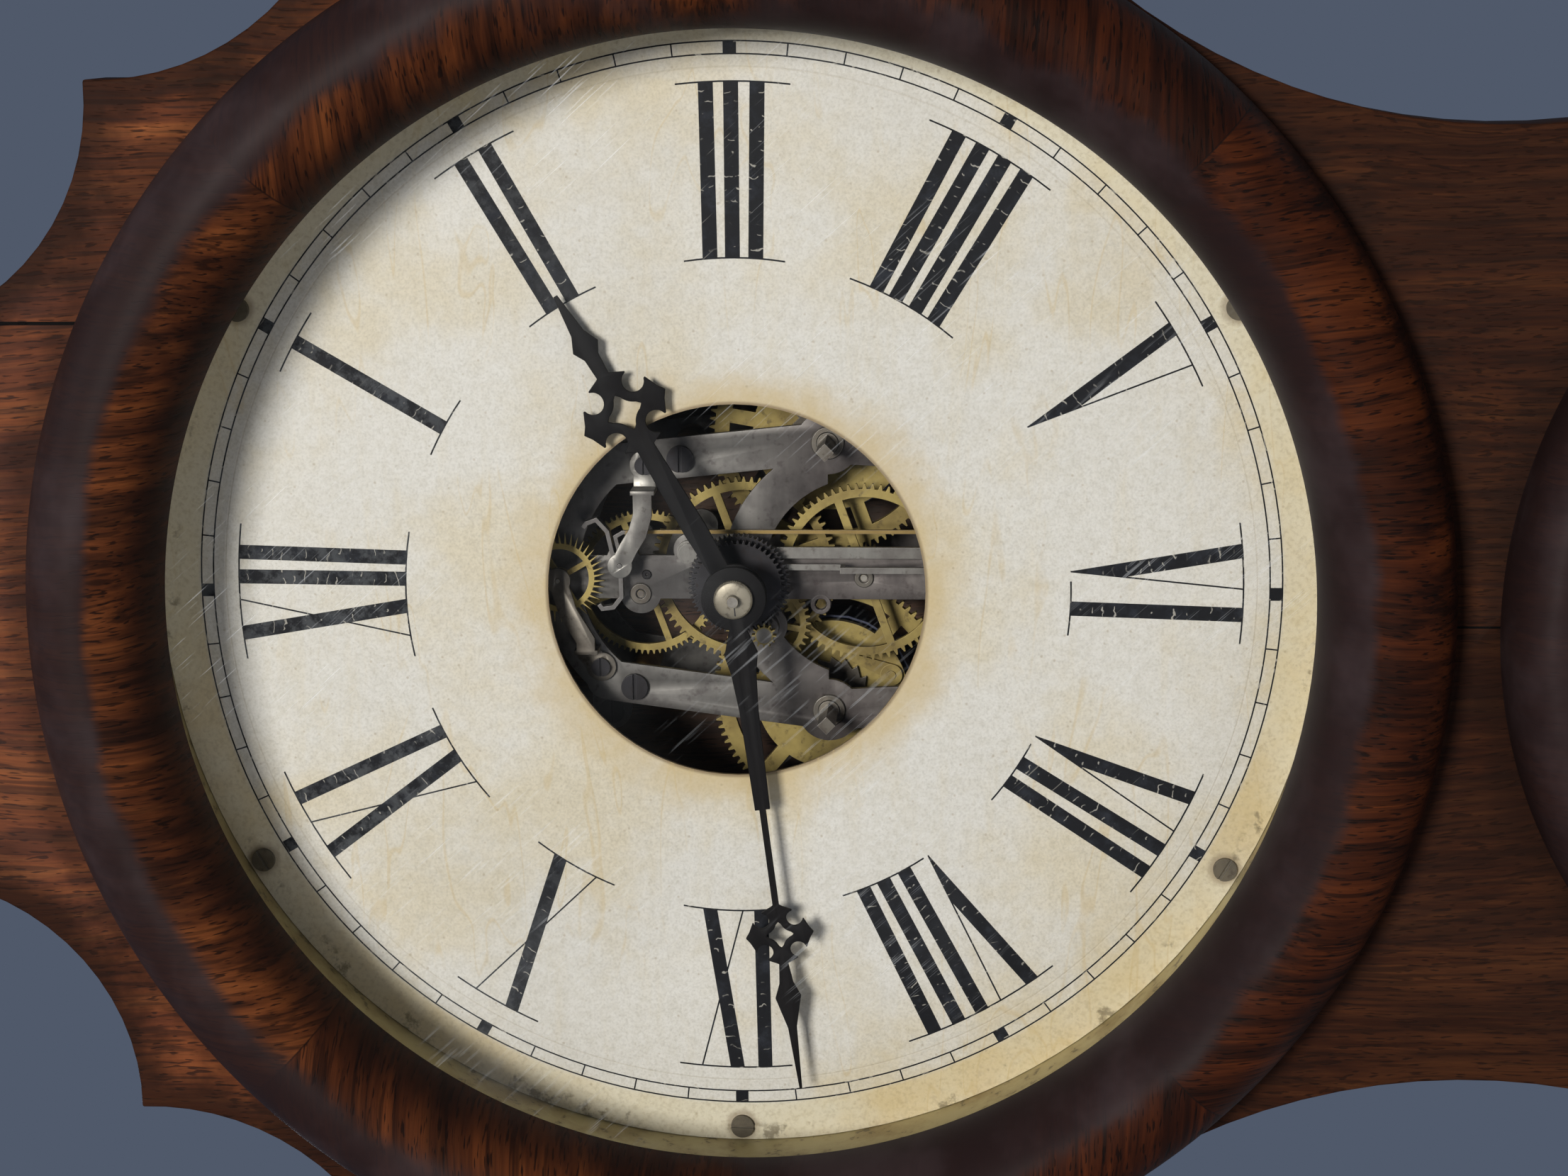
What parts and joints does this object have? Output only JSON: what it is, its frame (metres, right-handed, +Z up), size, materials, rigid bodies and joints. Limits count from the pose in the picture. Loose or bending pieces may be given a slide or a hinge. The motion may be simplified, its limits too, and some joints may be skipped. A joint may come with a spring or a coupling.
{
  "type": "calendar wall clock",
  "caption": "Wooden wall clock with a round time dial above a round calendar dial, each behind a hinged glazed bezel, with its pendulum movement and calendar works inside.",
  "frame": {"origin": "centre of the hanging hole in the hanger plate, on the wall plane at the clock's back", "axes": "+Z up, -Y out of the dials towards the viewer, +X to the clock's right, where three is on the dial"},
  "size_m": [0.4, 0.126, 0.729],
  "materials": {
    "walnut": "polished walnut veneer",
    "softwood": "unpolished wood",
    "dial_paint": "aged cream paint",
    "band_paint": "aged cream paint",
    "brass": "aged",
    "steel": "satin",
    "dark_steel": "tarnished",
    "spring_steel": "blued",
    "blue_black": "blue-black",
    "nickel": "worn nickel",
    "glass": "clear, lightly scratched",
    "putty": "dried putty"
  },
  "bodies": {
    "case": {"back_board": "softwood", "box_sides": "softwood", "box_ends": "softwood", "front_panel": "walnut", "hanger_plate": "brass", "case_screws": "dark_steel", "dial_rings": "softwood", "dial_bands": "band_paint", "time_dial": "dial_paint", "calendar_dial": "dial_paint", "dial_screws": "dark_steel", "case_hinge_leaves": "brass", "catch_clips": "brass", "back_plate": "steel", "front_plate": "steel", "pillars": "brass", "plate_screws": "dark_steel", "mounting_posts": "brass", "left_mainspring": "spring_steel", "right_mainspring": "spring_steel", "verge_cock": "steel", "escape_bridge": "steel", "suspension_post": "steel", "calendar_frame": "steel", "rod_guide": "brass"},
    "time_door": {"time_bezel": "walnut", "time_glass": "glass", "time_putty": "putty", "time_hinge_leaves": "brass", "time_catch_stud": "brass"},
    "calendar_door": {"calendar_bezel": "walnut", "calendar_glass": "glass", "calendar_putty": "putty", "calendar_hinge_leaves": "brass", "calendar_catch_stud": "brass"},
    "centre_arbor": {"centre_wheel": "brass", "minute_hand": "blue_black", "hand_nut": "nickel"},
    "hour_pipe": {"hour_wheel": "dark_steel", "hour_hand": "blue_black"},
    "minute_arbor": {"minute_wheel": "brass"},
    "day_pipe": {"day_wheel": "dark_steel"},
    "second_arbor": {"second_wheel": "brass"},
    "third_arbor": {"third_wheel": "brass"},
    "escape_arbor": {"escape_wheel": "brass"},
    "left_great": {"left_great_wheel": "brass"},
    "right_great": {"right_great_wheel": "brass"},
    "left_winder": {"left_winding_arbor": "steel"},
    "right_winder": {"right_winding_arbor": "steel"},
    "left_ratchet_click": {"left_click": "brass"},
    "right_ratchet_click": {"right_click": "brass"},
    "verge_arbor": {"verge": "steel"},
    "pendulum": {"pendulum_rod": "steel"},
    "bob": {"pendulum_bob": "brass"},
    "bob_nut": {"rating_nut": "brass"},
    "lifting_rod": {"calendar_rod": "steel"},
    "date_arbor": {"date_wheel": "brass", "date_hand": "blue_black"},
    "weekday_drum": {"weekday_roller": "softwood"},
    "month_drum": {"month_roller": "softwood"}
  },
  "joints": [
    {"name": "time_door_hinge", "type": "hinge", "parent": "case", "child": "time_door", "pos_m": [0.1806, -0.1039, -0.2], "axis": [0, 0, 1], "range_deg": [0, 100]},
    {"name": "calendar_door_hinge", "type": "hinge", "parent": "case", "child": "calendar_door", "pos_m": [0.1323, -0.1039, -0.522], "axis": [0, 0, 1], "range_deg": [0, 100]},
    {"name": "minute_hand_turn", "type": "hinge", "parent": "case", "child": "centre_arbor", "pos_m": [0, -0.0532, -0.2], "axis": [0, 1, 0], "continuous": true},
    {"name": "hour_hand_turn", "type": "hinge", "parent": "case", "child": "hour_pipe", "pos_m": [0, -0.0532, -0.2], "axis": [0, 1, 0], "continuous": true},
    {"name": "minute_wheel_turn", "type": "hinge", "parent": "case", "child": "minute_arbor", "pos_m": [-0.0133, -0.0532, -0.2067], "axis": [0, 1, 0], "continuous": true},
    {"name": "day_wheel_turn", "type": "hinge", "parent": "case", "child": "day_pipe", "pos_m": [0, -0.0532, -0.2], "axis": [0, 1, 0], "continuous": true},
    {"name": "second_wheel_turn", "type": "hinge", "parent": "case", "child": "second_arbor", "pos_m": [0, -0.0532, -0.2328], "axis": [0, 1, 0], "continuous": true},
    {"name": "third_wheel_turn", "type": "hinge", "parent": "case", "child": "third_arbor", "pos_m": [-0.0045, -0.0532, -0.1728], "axis": [0, 1, 0], "continuous": true},
    {"name": "escape_wheel_turn", "type": "hinge", "parent": "case", "child": "escape_arbor", "pos_m": [0.0005, -0.0532, -0.1515], "axis": [0, 1, 0], "continuous": true},
    {"name": "left_great_wheel_turn", "type": "hinge", "parent": "case", "child": "left_great", "pos_m": [-0.0365, -0.0532, -0.2233], "axis": [0, 1, 0], "continuous": true},
    {"name": "right_great_wheel_turn", "type": "hinge", "parent": "case", "child": "right_great", "pos_m": [0.0365, -0.0532, -0.2233], "axis": [0, 1, 0], "continuous": true},
    {"name": "left_winding", "type": "hinge", "parent": "left_great", "child": "left_winder", "pos_m": [-0.0365, -0.0532, -0.2233], "axis": [0, 1, 0], "continuous": true},
    {"name": "right_winding", "type": "hinge", "parent": "right_great", "child": "right_winder", "pos_m": [0.0365, -0.0532, -0.2233], "axis": [0, 1, 0], "continuous": true},
    {"name": "left_click_lift", "type": "hinge", "parent": "left_great", "child": "left_ratchet_click", "pos_m": [-0.03052, -0.0532, -0.23975], "axis": [0, 1, 0], "range_deg": [0, 12]},
    {"name": "right_click_lift", "type": "hinge", "parent": "right_great", "child": "right_ratchet_click", "pos_m": [0.04249, -0.0532, -0.23975], "axis": [0, 1, 0], "range_deg": [0, 12]},
    {"name": "verge_rock", "type": "hinge", "parent": "case", "child": "verge_arbor", "pos_m": [0.0046, -0.0532, -0.1682], "axis": [0, 1, 0], "range_deg": [-3, 3]},
    {"name": "pendulum_swing", "type": "hinge", "parent": "case", "child": "pendulum", "pos_m": [0.0075, -0.0532, -0.1863], "axis": [0, 1, 0], "range_deg": [-3.5, 3.5]},
    {"name": "bob_height", "type": "slide", "parent": "pendulum", "child": "bob", "axis": [0, 0, 1], "range_m": [-0.004, 0.004]},
    {"name": "rating_nut_turn", "type": "hinge", "parent": "bob", "child": "bob_nut", "pos_m": [0.0075, -0.0565, -0.466], "axis": [0, 0, 1], "continuous": true},
    {"name": "rod_lift", "type": "slide", "parent": "case", "child": "lifting_rod", "axis": [0, 0, 1], "range_m": [0, 0.008]},
    {"name": "date_hand_turn", "type": "hinge", "parent": "case", "child": "date_arbor", "pos_m": [0, -0.061, -0.522], "axis": [0, 1, 0], "continuous": true},
    {"name": "weekday_roller_turn", "type": "hinge", "parent": "case", "child": "weekday_drum", "pos_m": [-0.045, -0.0554, -0.522], "axis": [1, 0, 0], "continuous": true},
    {"name": "month_roller_turn", "type": "hinge", "parent": "case", "child": "month_drum", "pos_m": [0.045, -0.0554, -0.522], "axis": [1, 0, 0], "continuous": true}
  ],
  "couplings": [
    {"joint": "hour_hand_turn", "follows": "minute_hand_turn", "ratio": 0.083333},
    {"joint": "minute_wheel_turn", "follows": "minute_hand_turn", "ratio": -0.33333},
    {"joint": "day_wheel_turn", "follows": "minute_hand_turn", "ratio": 0.041667},
    {"joint": "second_wheel_turn", "follows": "minute_hand_turn", "ratio": -0.38235},
    {"joint": "third_wheel_turn", "follows": "minute_hand_turn", "ratio": -9},
    {"joint": "escape_wheel_turn", "follows": "minute_hand_turn", "ratio": 85.5},
    {"joint": "left_great_wheel_turn", "follows": "minute_hand_turn", "ratio": 0.063725},
    {"joint": "right_great_wheel_turn", "follows": "minute_hand_turn", "ratio": 0.063725},
    {"joint": "verge_rock", "follows": "pendulum_swing", "ratio": 0.8437}
  ]
}
